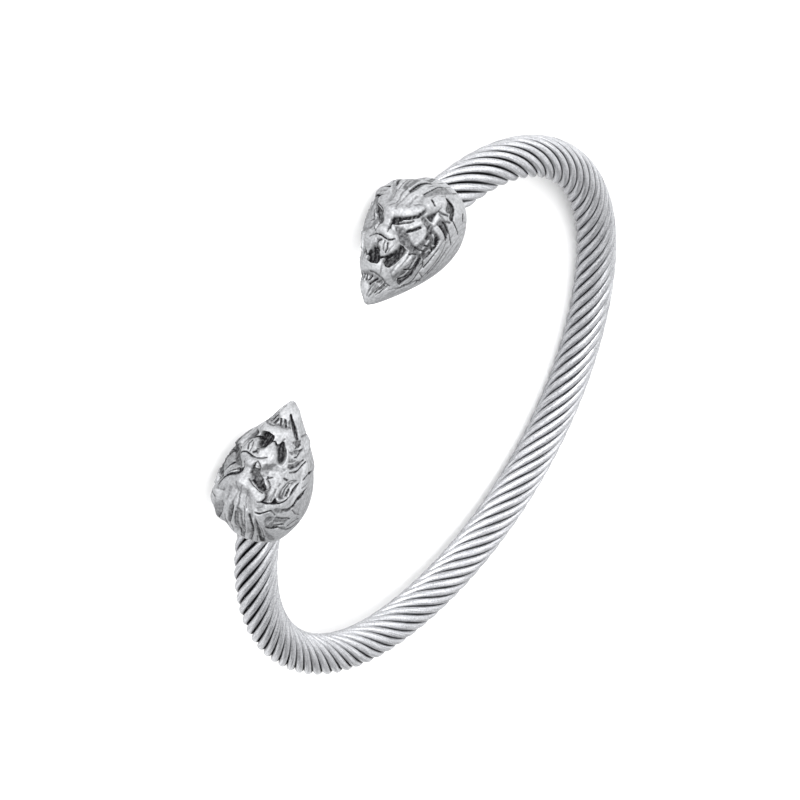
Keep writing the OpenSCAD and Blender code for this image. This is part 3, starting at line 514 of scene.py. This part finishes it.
# Thin ridges. Columns: half, height, half width, route
RIDGES = [
    # left half: lids, hollow of the cheek, lips, beard and ear
    (LEFT, 0.12, 0.06, [(2.5, 6.42), (2.2, 6.85), (1.7, 7.2), (1.2, 7.5)]),
    (LEFT, 0.15, 0.1, [(5.08, 9.0), (5.08, 10.2), (5.1, 11.2)]),
    (LEFT, 0.15, 0.15, [(3.2, 9.9), (3.0, 10.8), (2.6, 11.6)]),
    (LEFT, 0.1, 0.07, [(5.7, 6.8), (5.3, 6.6), (4.95, 6.45)]),
    (LEFT, 0.1, 0.06, [(6.0, 6.95), (5.75, 7.15), (5.5, 7.3)]),
    (LEFT, 0.1, 0.06, [(5.95, 7.65), (5.5, 7.8), (5.2, 8.3)]),
    (LEFT, 0.1, 0.08, [(4.9, 7.2), (4.75, 8.0), (4.6, 8.7)]),
    (LEFT, 0.1, 0.14, [(3.9, 9.3), (3.65, 10.2), (3.2, 11.1), (2.5, 11.95)]),
    (LEFT, 0.1, 0.06, [(4.5, 9.3), (4.35, 10.3), (4.1, 11.2), (3.5, 11.9)]),
    (LEFT, 0.1, 0.06, [(3.3, 9.3), (3.3, 10.2), (2.9, 11.1)]),
    (LEFT, 0.08, 0.06, [(1.8, 13.1), (1.3, 13.8)]),
    (LEFT, 0.08, 0.06, [(1.2, 13.15), (0.75, 13.7), (0.5, 14.3)]),
    (LEFT, 0.1, 0.12, [(4.45, 4.6), (4.4, 5.6)]),
    (LEFT, 0.1, 0.15, [(3.4, 6.05), (3.0, 6.8), (2.5, 7.5)]),
    # right half: beard, nose, locks, ear, cheek, lids and lips
    (RIGHT, 0.1, 0.07, [(0.05, 13.2), (0.15, 13.6), (0.3, 13.2)]),
    (RIGHT, 0.1, 0.07, [(0.6, 13.3), (0.4, 13.9)]),
    (RIGHT, 0.1, 0.07, [(1.3, 13.1), (0.85, 13.7)]),
    (RIGHT, 0.1, 0.06, [(0.55, 8.9), (0.9, 8.75), (0.95, 8.95), (0.6, 9.25)]),
    (RIGHT, 0.1, 0.07, [(0.5, 1.3), (0.6, 2.2), (0.45, 3.4)]),
    (RIGHT, 0.1, 0.06, [(4.0, 6.5), (4.0, 7.2), (4.3, 7.9), (5.0, 8.05)]),
    (RIGHT, 0.1, 0.06, [(4.35, 6.3), (4.4, 7.2), (4.6, 7.75)]),
    (RIGHT, 0.1, 0.07, [(4.1, 3.2), (4.9, 3.1), (5.7, 3.3)]),
    (RIGHT, 0.1, 0.06, [(3.4, 3.1), (3.5, 3.4), (3.8, 3.5), (4.0, 3.9)]),
    (RIGHT, 0.1, 0.06, [(3.2, 9.9), (3.9, 9.95), (4.5, 10.15)]),
    (RIGHT, 0.1, 0.06, [(0.6, 7.45), (1.2, 6.98), (1.7, 6.75), (2.2, 6.52)]),
    (RIGHT, 0.1, 0.07, [(2.3, 6.7), (2.38, 7.0), (2.26, 7.25), (2.0, 7.5), (1.8, 7.62)]),
    (RIGHT, 0.15, 0.07, [(3.38, 6.6), (3.5, 6.2), (3.74, 5.98), (4.12, 6.0), (4.5, 6.15), (4.8, 6.5)]),
    (RIGHT, 0.15, 0.09, [(4.85, 6.5), (4.8, 7.0), (4.9, 7.4), (5.25, 7.75), (5.8, 7.85)]),
    (RIGHT, 0.15, 0.08, [(2.78, 9.65), (2.9, 10.2), (2.8, 10.7), (2.5, 11.1)]),
    (RIGHT, 0.12, 0.08, [(3.1, 10.68), (4.0, 10.5)]),
    (RIGHT, 0.12, 0.07, [(3.8, 9.2), (4.6, 9.35), (5.3, 9.7)]),
    (RIGHT, 0.12, 0.07, [(0.75, 1.0), (1.2, 1.9), (1.35, 2.8), (1.15, 4.0)]),
    (RIGHT, 0.1, 0.06, [(2.75, 1.1), (2.8, 1.9), (2.55, 2.8)]),
    (RIGHT, 0.1, 0.08, [(2.15, 1.3), (2.15, 2.2), (2.1, 3.2)]),
    (RIGHT, 0.12, 0.07, [(2.6, 11.75), (3.35, 11.4)]),
]


def ramp(value, start, end):
    """Rises evenly from nothing at the start to one at the end, which may also lie below the start."""
    return np.clip((value - start) / (end - start), 0, 1)


def cable(s):
    """Centre of the cable and the direction out of the oval, at lengths along it."""
    i = np.clip(np.searchsorted(ARC_ENDS, s), 0, len(ARCS) - 1)
    x, y, r, first, _ = ARCS[i].T
    a = np.radians(first) + (s - ARC_STARTS[i]) / r
    out = np.stack([np.cos(a), np.sin(a), np.zeros_like(a)], axis=-1)
    return np.stack([x, y, np.zeros_like(x)], axis=-1) + r[:, None] * out, out


def wire_line(s, turn):
    """Centre of a wire and the direction out of the cable, at lengths along the cable."""
    centre, out = cable(s)
    t = turn - 2 * np.pi * s / LAY
    outward = np.cos(t)[:, None] * out + np.sin(t)[:, None] * UP
    return centre + PITCH_R * outward, outward


def circles(centre, radius, angles, out, side):
    """Rings of points round a line, with the directions at angle 0 and at a quarter turn."""
    towards_out = np.cos(angles)[None, :, None] * out[:, None]
    towards_side = np.sin(angles)[None, :, None] * side[:, None]
    return centre[:, None] + radius * (towards_out + towards_side)


def laid(points):
    """Lays points of the hoop's own plane on the ground, in metres."""
    slope = np.radians(-REST_SLOPE)
    lean = np.radians(REST_LEAN)
    about_x = np.array([[1, 0, 0], [0, np.cos(slope), -np.sin(slope)], [0, np.sin(slope), np.cos(slope)]])
    about_y = np.array([[np.cos(lean), 0, np.sin(lean)], [0, 1, 0], [-np.sin(lean), 0, np.cos(lean)]])
    return (points @ (about_y @ about_x).T + np.array(REST_SHIFT)) * MM


def stacked_mesh(name, first, rings, last, values):
    """A closed skin through a stack of rings, with one point in the middle of each end.

    The values are what the finish needs to know of each point of the rings.
    """
    levels, sides = rings.shape[:2]
    points = np.concatenate([[first], rings.reshape(-1, 3), [last]])
    k = np.arange(sides)
    after = (k + 1) % sides
    base = 1 + np.arange(levels - 1)[:, None] * sides
    quads = np.stack([base + k, base + after, base + sides + after, base + sides + k], axis=-1)
    top = 1 + (levels - 1) * sides
    faces = [(0, int(1 + b), int(1 + a)) for a, b in zip(k, after)]
    faces += [tuple(q) for q in quads.reshape(-1, 4).tolist()]
    faces += [(int(top + a), int(top + b), len(points) - 1) for a, b in zip(k, after)]
    mesh = bpy.data.meshes.new(name)
    mesh.from_pydata(laid(points).tolist(), [], faces)
    mesh.polygons.foreach_set("use_smooth", [True] * len(faces))
    for label, value in values.items():
        layer = mesh.attributes.new(label, "FLOAT", "POINT")
        layer.data.foreach_set("value", np.concatenate([[0], value.ravel(), [0]]))
    mesh.update()
    piece = bpy.data.objects.new(name, mesh)
    bpy.context.collection.objects.link(piece)
    return piece


def make_wire(i, material):
    """One of the visible wires, with what its finish needs to know of each point."""
    s = np.linspace(END_GAP, CABLE_LENGTH - END_GAP, WIRE_RINGS)
    turn = 2 * np.pi * (i + FIRST_WIRE) / WIRE_COUNT
    centre, outward = wire_line(s, turn)
    run = wire_line(s + TANGENT_STEP, turn)[0] - wire_line(s - TANGENT_STEP, turn)[0]
    sideways = np.cross(run, outward) / np.linalg.norm(run, axis=1)[:, None]
    b = np.arange(WIRE_SIDES) * 2 * np.pi / WIRE_SIDES - np.pi
    rings = circles(centre, WIRE_R, b, outward, sideways)

    # The sides that face the neighbours and the core get painted shade. It is darkest on the outside of the
    # oval, where the bend opens the cable.
    opened = np.clip(OPENED_CONTRAST * np.cos(turn - 2 * np.pi * s / LAY), 0, 1)[:, None]
    gap_shade_start = GAP_SHADE_START + GAP_SHADE_OPENED * opened
    gap_shade = ramp(np.cos(b)[None], gap_shade_start, gap_shade_start - GAP_SHADE_EDGE)
    patina_and_shade = gap_shade * (GAP_SHADE_LEAST + (1 - GAP_SHADE_LEAST) * opened)

    grid = np.ones(rings.shape[:2])
    values = {"patina_and_shade": patina_and_shade, "across": b * WIRE_R * grid, "along": s[:, None] * grid, "wire": i * grid}
    name = f"wire_{i + 1:02d}"
    piece = stacked_mesh(f"satin_{name}", centre[0], rings, centre[-1], values)
    piece.data.materials.append(material)
    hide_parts(name)
    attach(piece, "root")


def smooth_column(x, column):
    """A cubic between the rows of HEAD_SECTIONS, with the slope of the neighbours at each row."""
    table = HEAD_SECTIONS
    last = len(table) - 1
    i = np.clip(np.searchsorted(table[:, 0], x) - 1, 0, last - 1)
    width = table[i + 1, 0] - table[i, 0]
    v = np.clip((x - table[i, 0]) / width, 0, 1)

    def slope(j):
        a = np.maximum(j - 1, 0)
        b = np.minimum(j + 1, last)
        return (table[b, column] - table[a, column]) / (table[b, 0] - table[a, 0])

    rise = v * v * (3 - 2 * v)
    bend = slope(i) * v * (1 - v) ** 2 - slope(i + 1) * v * v * (1 - v)
    return table[i, column] + (table[i + 1, column] - table[i, column]) * rise + width * bend


def section_radius(x, a):
    """Radius of the plain head at lengths along it and angles round it."""
    side = np.abs(np.sin(a)) / smooth_column(x, 1)
    height = np.where(np.cos(a) > 0, smooth_column(x, 2), smooth_column(x, 3))
    return (side ** HEAD_ROUND + (np.abs(np.cos(a)) / height) ** HEAD_ROUND) ** (-1 / HEAD_ROUND)


def route_distance(q, u, route):
    """Distance of points from a line of straight stretches.

    Here and below, q is the way round the head and u the length from the cable's end.
    """
    nearest = np.full(q.shape, np.inf)
    for (q0, u0), (q1, u1) in zip(route[:-1], route[1:]):
        dq = q1 - q0
        du = u1 - u0
        v = np.clip(((q - q0) * dq + (u - u0) * du) / (dq * dq + du * du), 0, 1)
        nearest = np.minimum(nearest, np.hypot(q - q0 - v * dq, u - u0 - v * du))
    return nearest


def rounded_outline(points):
    """A closed smooth curve through the points of an outline."""
    p = np.array(points, dtype=float)
    before = np.roll(p, 1, 0)
    after = np.roll(p, -1, 0)
    beyond = np.roll(p, -2, 0)
    curve = []
    for t in np.arange(OUTLINE_STEPS) / OUTLINE_STEPS:
        square = (2 * before - 5 * p + 4 * after - beyond) * t ** 2
        cube = (3 * p - before - 3 * after + beyond) * t ** 3
        curve.append(0.5 * (2 * p + (after - before) * t + square + cube))
    return np.stack(curve, axis=1).reshape(-1, 2)


def inside_outline(q, u, outline):
    """True for points inside a closed outline, by counting the sides that each point sees to its right."""
    inside = np.zeros(q.shape, dtype=bool)
    for (q0, u0), (q1, u1) in zip(outline, np.roll(outline, -1, 0)):
        if u0 == u1:
            continue
        crosses = (u0 > u) != (u1 > u)
        inside ^= crosses & (q < q0 + (u - u0) * (q1 - q0) / (u1 - u0))
    return inside


def near(q, u, points, reach):
    """Which points of the grid are close enough to a feature to matter."""
    low = np.min(points, axis=0) - reach
    high = np.max(points, axis=0) + reach
    return (q > low[0]) & (q < high[0]) & (u > low[1]) & (u < high[1])


def on_half(q, half):
    """The way round the head as a row of the relief counts it, for its own half or for both."""
    return np.abs(q) if half == BOTH else q * half


def bell(d):
    """Round section of a form or a groove, one in the middle and near nothing from two half widths on."""
    return np.exp(-d ** 4 / 2 - d ** 2 / 2)


def beside(q, u, half, route, half_w):
    """The points close to a route, and their distance from it in half widths."""
    sq = on_half(q, half)
    m = near(sq, u, route, BELL_REACH * half_w)
    return m, route_distance(sq[m], u[m], route) / half_w


def blurred(values, step_u, step_a, width):
    """Values of a grid, averaged over a round patch of a width, with the face's edges repeated."""
    for axis, step in ((0, step_u), (1, step_a)):
        n = max(int(round(BLUR_REACH * width / step)), 1)
        weights = np.exp(-0.5 * (np.arange(-n, n + 1) * step / width) ** 2)
        weights /= weights.sum()
        pad = [(n, n) if k == axis else (0, 0) for k in (0, 1)]
        padded = np.pad(values, pad, mode="edge")
        places = np.arange(values.shape[axis])
        values = sum(w * np.take(padded, places + j, axis=axis) for j, w in enumerate(weights))
    return values


def casting_relief(q, u):
    """Height of the relief over the plain section, and how dark each point is with patina and, on a few
    rows, painted shade.
    """
    relief = np.zeros(q.shape)
    # A faint even stain over the face, which the mane and the border don't have
    patina_and_shade = FACE_STAIN * ramp(np.abs(q), *FACE_STAIN_WAY) * ramp(u, *FACE_STAIN_IN)
    patina_and_shade *= ramp(u, *FACE_STAIN_OUT)
    for half, height, half_w, route in FORMS:
        m, d = beside(q, u, half, route, half_w)
        relief[m] += height * bell(d)
    for half, depth, stain, points in HOLLOWS:
        sq = on_half(q, half)
        m = near(sq, u, points, WALL)
        outline = rounded_outline(points)
        d = route_distance(sq[m], u[m], np.vstack([outline, outline[:1]]))
        inward = np.where(inside_outline(sq[m], u[m], outline), d, -d)
        t = np.clip(inward / WALL + WALL_OUTSIDE, 0, 1)
        cut = t * t * (3 - 2 * t)
        relief[m] -= depth * cut
        patina_and_shade[m] = np.maximum(patina_and_shade[m], stain * cut)
    for half, height, half_w, route in RIDGES:
        m, d = beside(q, u, half, route, half_w)
        relief[m] += height * bell(d)
        patina_and_shade[m] *= 1 - RIDGE_POLISH * ramp(d, *LINE_FADE)
    for half, stain, half_w, route in GROOVES:
        m, d = beside(q, u, half, route, half_w)
        relief[m] -= GROOVE_DEPTH * stain * bell(d)
        patina_and_shade[m] = np.maximum(patina_and_shade[m], stain * ramp(d, *LINE_FADE))
    return relief, patina_and_shade


def head_directions(pose):
    """Along the head before it is turned, and then along it, out of its face and across it."""
    angle, yaw, roll = np.radians([HEAD_ANGLE, *pose])
    flat_axis = np.array([-np.cos(angle), -np.sin(angle), 0])
    flat_face = np.array([np.sin(angle), -np.cos(angle), 0])
    axis = np.cos(yaw) * flat_axis - np.sin(yaw) * UP
    side = np.cos(yaw) * UP + np.sin(yaw) * flat_axis
    face = np.cos(roll) * flat_face + np.sin(roll) * side
    across = np.cos(roll) * side - np.sin(roll) * flat_face
    return flat_axis, axis, face, across


def make_head(name, node, pose, half_turn, material):
    """A cast head from its neck to its chin, with the blind socket for the cable's end."""
    # Skin: stations along the head, and points round it that are close together on the face alone
    face_a = np.radians(np.linspace(-FACE_REACH, FACE_REACH, FACE_POINTS))
    wrist_a = np.radians(np.linspace(FACE_REACH, 360 - FACE_REACH, WRIST_POINTS + 2)[1:-1])
    a = np.concatenate([face_a, wrist_a])
    signed = np.where(a > np.pi, a - 2 * np.pi, a)[None]
    x = np.linspace(0, HEAD_SECTIONS[-1, 0], HEAD_STATIONS)
    xs, angles = np.meshgrid(x, a, indexing="ij")
    way = signed * (smooth_column(xs, 1) + smooth_column(xs, 2)) / 2
    step_x = x[1] - x[0]
    step_a = (face_a[1] - face_a[0]) * FACE_R

    relief, patina_and_shade = casting_relief(way, xs)
    reach = np.radians(FACE_REACH)
    ends = ramp(xs, *RELIEF_OUT) * ramp(np.abs(signed), reach, reach - REACH_FADE)
    fade = ramp(xs, *RELIEF_IN) * ends
    relief = blurred(relief, step_x, step_a, EDGE_BLUR) * fade
    hollow = blurred(relief, step_x, step_a, TARNISH_BLUR) - relief
    settled = np.clip(hollow / TARNISH_DEPTH, 0, 1) ** TARNISH_CURVE
    patina_and_shade = np.maximum(patina_and_shade * ramp(xs, *STAIN_IN) * ends, settled)

    rim = ramp(xs, RIM_ROUND, 0)
    radius = section_radius(xs, angles) + relief - RIM_ROUND * (1 - np.sqrt(1 - rim ** 2))
    height = radius * np.cos(angles)
    width = radius * np.sin(angles)
    flat_axis, axis, face, across = head_directions(pose)
    start = cable(np.array([SOCKET_DEPTH]))[0][0] - HEAD_STEP * UP + SOCKET_LEAD * flat_axis
    lean = np.tan(KINK) * ramp(xs, SOCKET_DEPTH, 0)
    skin = start + (xs - lean * height)[..., None] * axis
    skin = skin + height[..., None] * face + width[..., None] * across

    # Floor, middle and mouth of the socket
    depths = SOCKET_DEPTH * np.array([0, 0.5, 1]) - SOCKET_GAP * np.array([1, 0.5, 0])
    centre, out = cable(depths)
    socket = circles(centre, CABLE_D / 2 + SOCKET_GAP, a, out, UP[None])
    rings = np.concatenate([socket, skin])
    first = centre[0]
    last = start + HEAD_LENGTH * axis
    if half_turn:
        # The same casting, turned half round with the other end of the cable
        turn = np.array([-1, 1, -1])
        rings, first, last = rings * turn, first * turn, last * turn

    # Hair on the forehead down to the brow and on the mane round the head. The face between is smooth.
    # The strands run down the head, and towards the chin they draw together.
    strand = way * (1 + np.clip(xs - STRANDS_MEET_FROM, 0, None) / STRANDS_MEET_OVER)
    forehead = ramp(xs, *FOREHEAD_OUT) * ramp(np.abs(way), *FOREHEAD_WAY)
    hair = (forehead + ramp(np.abs(strand), *MANE_WAY)) * fade

    values = {}
    skins = {"patina_and_shade": (1, patina_and_shade), "along": (0, xs), "across": (0, strand), "hair": (0, hair)}
    for label, (in_socket, on_skin) in skins.items():
        values[label] = np.concatenate([np.full(socket.shape[:2], in_socket), on_skin])
    piece = stacked_mesh(name, first, rings, last, values)
    piece.data.materials.append(material)
    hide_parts(node)
    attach(piece, "root")


def linear(hex_colour):
    """Turns an sRGB hex value to the linear colour that a node takes."""
    srgb = np.array([int(hex_colour[i:i + 2], 16) for i in (1, 3, 5)]) / 255
    value = np.where(srgb <= 0.04045, srgb / 12.92, ((srgb + 0.055) / 1.055) ** 2.4)
    return (*value.tolist(), 1.0)


def empty_tree(owner):
    """The nodes of a material or a world, with none of Blender's own left in them."""
    owner.use_nodes = True
    owner.node_tree.nodes.clear()
    return owner.node_tree.nodes


def add(nodes, kind, inputs=None, **settings):
    """Adds a node with its settings.

    An input takes a value, or a link from a socket, or one from the first live output of a node.
    """
    node = nodes.new(f"ShaderNode{kind}")
    for name, value in settings.items():
        setattr(node, name, value)
    for key, value in (inputs or {}).items():
        if isinstance(value, bpy.types.Node):
            value = next(socket for socket in value.outputs if socket.enabled)
        if isinstance(value, bpy.types.NodeSocket):
            nodes.id_data.links.new(value, node.inputs[key])
        else:
            node.inputs[key].default_value = value
    return node


def satin_drawn_steel():
    """Stainless steel wire, drawn and brushed satin: soft long highlights and fine lines along the wire."""
    material = bpy.data.materials.new("stainless_steel_drawn_satin")
    nodes = empty_tree(material)
    place = add(nodes, "TexCoord").outputs["Object"]
    across, along, wire, patina_and_shade = (
        add(nodes, "Attribute", attribute_name=label).outputs["Fac"]
        for label in ("across", "along", "wire", "patina_and_shade"))
    where = add(nodes, "CombineXYZ", {"X": across, "Y": along, "Z": wire})
    scaled = add(nodes, "VectorMath", {
        0: where, 1: (1 / STREAK_WIDTH, 1 / STREAK_LENGTH, WIRES_APART),
    }, operation="MULTIPLY")
    streaks = add(nodes, "TexNoise", {"Vector": scaled, "Scale": 1.0, "Detail": 3.0})
    grain = add(nodes, "TexNoise", {"Vector": place, "Scale": 1 / (WIRE_GRAIN * MM), "Detail": 2.0})
    lines = add(nodes, "Math", {0: streaks, 1: grain}, operation="ADD")
    rough = add(nodes, "MapRange", {
        "Value": lines, "From Min": 0.7, "From Max": 1.3, "To Min": 0.34, "To Max": 0.5,
    })
    shade = add(nodes, "MapRange", {"Value": lines, "From Min": 0.75, "From Max": 1.25})
    polished = add(nodes, "Mix", {
        "Factor": shade, COLOUR_A: linear("#797A7D"), COLOUR_B: linear("#BEBFC2"),
    }, data_type="RGBA")
    # Painted shade between the wires takes their sides that face each other to this dark grey
    colour = add(nodes, "Mix", {
        "Factor": patina_and_shade, COLOUR_A: polished, COLOUR_B: linear("#3A3A3D"),
    }, data_type="RGBA")
    bump = add(nodes, "Bump", {"Height": lines, "Strength": 0.5, "Distance": FINISH_DEPTH * MM})
    shader = add(nodes, "BsdfPrincipled", {
        "Base Color": colour, "Roughness": rough, "Normal": bump, "Metallic": 1.0,
    })
    add(nodes, "OutputMaterial", {"Surface": shader})
    return material


def cast_polished_steel():
    """Cast stainless steel, polished by hand: bright high places over hollows that stay dark and matt."""
    material = bpy.data.materials.new("stainless_steel_cast_polished")
    nodes = empty_tree(material)
    place = add(nodes, "TexCoord").outputs["Object"]
    across, along, hair, patina_and_shade = (
        add(nodes, "Attribute", attribute_name=label).outputs["Fac"]
        for label in ("across", "along", "hair", "patina_and_shade"))
    # Casting grain, seen where the polish doesn't reach, and fine hair lines of the casting
    grain = add(nodes, "TexNoise", {"Vector": place, "Scale": 1 / (CASTING_GRAIN * MM), "Detail": 4.0})
    where = add(nodes, "CombineXYZ", {"X": across, "Y": along})
    scaled = add(nodes, "VectorMath", {
        0: where, 1: (1 / HAIR_WIDTH, 1 / HAIR_LENGTH, 1.0),
    }, operation="MULTIPLY")
    strands = add(nodes, "TexNoise", {"Vector": scaled, "Scale": 1.0, "Detail": 3.0})
    combed = add(nodes, "MapRange", {
        "Value": strands, "From Min": 0.5, "From Max": 0.32, "To Min": 0.1, "To Max": 0.46,
    })
    hairs = add(nodes, "Math", {0: combed, 1: hair}, operation="MULTIPLY")
    mottle = add(nodes, "Math", {0: grain, 1: strands}, operation="ADD")
    patches = add(nodes, "MapRange", {
        "Value": mottle, "From Min": 0.75, "From Max": 1.25, "To Min": 0.75, "To Max": 1.25,
    })
    # Patina, and the painted shade of a few rows of the relief, darken the steel towards near black
    stained = add(nodes, "Math", {0: patina_and_shade, 1: patches}, operation="MULTIPLY", use_clamp=True)
    dark = add(nodes, "Math", {0: stained, 1: hairs}, operation="MAXIMUM")
    cloudy = add(nodes, "MapRange", {"Value": grain, "From Min": 0.3, "From Max": 0.7})
    polished = add(nodes, "Mix", {
        "Factor": cloudy, COLOUR_A: linear("#AAABAD"), COLOUR_B: linear("#8C8D8F"),
    }, data_type="RGBA")
    colour = add(nodes, "Mix", {
        "Factor": dark, COLOUR_A: polished, COLOUR_B: linear("#1E1E20"),
    }, data_type="RGBA")
    swirl = add(nodes, "TexNoise", {"Vector": place, "Scale": 1 / (POLISH_SWIRL * MM), "Detail": 2.0})
    wear = add(nodes, "MapRange", {"Value": swirl, "To Min": -0.04, "To Max": 0.06})
    matt = add(nodes, "MapRange", {"Value": patina_and_shade, "To Min": 0.66, "To Max": 0.75})
    rough = add(nodes, "Math", {0: matt, 1: wear}, operation="ADD")
    pits = add(nodes, "Math", {0: mottle, 1: patina_and_shade}, operation="MULTIPLY")
    bump = add(nodes, "Bump", {"Height": pits, "Strength": 0.35, "Distance": FINISH_DEPTH * MM})
    shader = add(nodes, "BsdfPrincipled", {
        "Base Color": colour, "Roughness": rough, "Normal": bump, "Metallic": 1.0,
    })
    add(nodes, "OutputMaterial", {"Surface": shader})
    return material


def core_steel_painted_shade():
    """Stainless core wires, painted near black as shade: they only darken the gaps between the outer wires.
    """
    material = bpy.data.materials.new("stainless_steel_core_painted_shade")
    nodes = empty_tree(material)
    place = add(nodes, "TexCoord").outputs["Object"]
    core_shade_mottle = add(nodes, "TexNoise", {"Vector": place, "Scale": 1 / (CORE_SHADE_MOTTLE * MM), "Detail": 3.0})
    colour = add(nodes, "Mix", {
        "Factor": core_shade_mottle, COLOUR_A: linear("#1B1B1D"), COLOUR_B: linear("#333335"),
    }, data_type="RGBA")
    shader = add(nodes, "BsdfPrincipled", {"Base Color": colour, "Metallic": 0.8, "Roughness": 0.55})
    add(nodes, "OutputMaterial", {"Surface": shader})
    return material


def matt_white_card():
    """White studio card, matt: an even ground that takes a faint soft shadow."""
    material = bpy.data.materials.new("card_white_matt")
    nodes = empty_tree(material)
    place = add(nodes, "TexCoord").outputs["Object"]
    fibre = add(nodes, "TexNoise", {"Vector": place, "Scale": 1 / (CARD_FIBRE * MM), "Detail": 3.0})
    colour = add(nodes, "Mix", {
        "Factor": fibre, COLOUR_A: linear("#F4F4F4"), COLOUR_B: linear("#F7F7F7"),
    }, data_type="RGBA")
    shader = add(nodes, "BsdfPrincipled", {
        "Base Color": colour, "Roughness": 0.9, "Specular IOR Level": 0.1,
    })
    add(nodes, "OutputMaterial", {"Surface": shader})
    return material


def make_camera():
    """The photograph's view of the cuff."""
    azimuth = np.radians(CAMERA_AZIMUTH)
    elevation = np.radians(CAMERA_ELEVATION)
    flat = np.cos(elevation)
    look = Vector((np.sin(azimuth) * flat, np.cos(azimuth) * flat, -np.sin(elevation)))
    camera = bpy.data.objects.new("camera", bpy.data.cameras.new("camera"))
    bpy.context.collection.objects.link(camera)
    camera.data.lens = CAMERA_LENS
    camera.data.sensor_width = CAMERA_SENSOR
    camera.data.clip_start = CAMERA_NEAR * MM
    place = Matrix.Translation(Vector(CAMERA_AIM) * MM - look * CAMERA_DISTANCE * MM)
    level = look.to_track_quat("-Z", "Y").to_matrix().to_4x4()
    camera.matrix_world = place @ level @ Matrix.Rotation(np.radians(CAMERA_ROLL), 4, "Z")
    bpy.context.scene.camera = camera


def make_floor():
    """A large round card under the cuff."""
    bpy.ops.mesh.primitive_circle_add(vertices=FLOOR_SIDES, radius=FLOOR_R * MM, fill_type="NGON")
    floor = bpy.context.object
    floor.name = "floor"
    floor.data.materials.append(matt_white_card())


def make_softbox(name, place, size, power):
    """A rectangular soft light, turned to the middle of the cuff."""
    data = bpy.data.lights.new(name, "AREA")
    data.shape = "RECTANGLE"
    data.size = size[0] * MM
    data.size_y = size[1] * MM
    data.energy = power
    light = bpy.data.objects.new(name, data)
    bpy.context.collection.objects.link(light)
    light.location = Vector(place) * MM
    light.rotation_euler = (-light.location).to_track_quat("-Z", "Y").to_euler()


def make_surroundings():
    """A plain studio, lighter towards one side and overhead, so that round steel shows its form."""
    world = bpy.data.worlds.new("studio")
    bpy.context.scene.world = world
    nodes = empty_tree(world)
    direction = add(nodes, "TexCoord").outputs["Generated"]
    towards = add(nodes, "VectorMath", {0: direction, 1: LIGHT_SIDE}, operation="DOT_PRODUCT")
    strength = add(nodes, "MapRange", {
        "Value": towards, "From Min": STUDIO_TURN[0], "From Max": STUDIO_TURN[1],
        "To Min": STUDIO_DARK, "To Max": STUDIO_LIGHT,
    }, interpolation_type="SMOOTHSTEP")
    background = add(nodes, "Background", {"Color": linear("#FFFFFF"), "Strength": strength})
    add(nodes, "OutputWorld", {"Surface": background})


wire_material = satin_drawn_steel()
head_material = cast_polished_steel()
for index in range(WIRE_COUNT):
    make_wire(index, wire_material)
make_head("cast_head_right", "head_right", RIGHT_POSE, False, head_material)
make_head("cast_head_left", "head_left", LEFT_POSE, True, head_material)
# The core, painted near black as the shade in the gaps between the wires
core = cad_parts["core_rod"]
core.data.materials.clear()
core.data.materials.append(core_steel_painted_shade())

make_camera()
make_floor()
for softbox in SOFTBOXES:
    make_softbox(*softbox)
make_surroundings()
bpy.context.scene.view_settings.view_transform = "Standard"
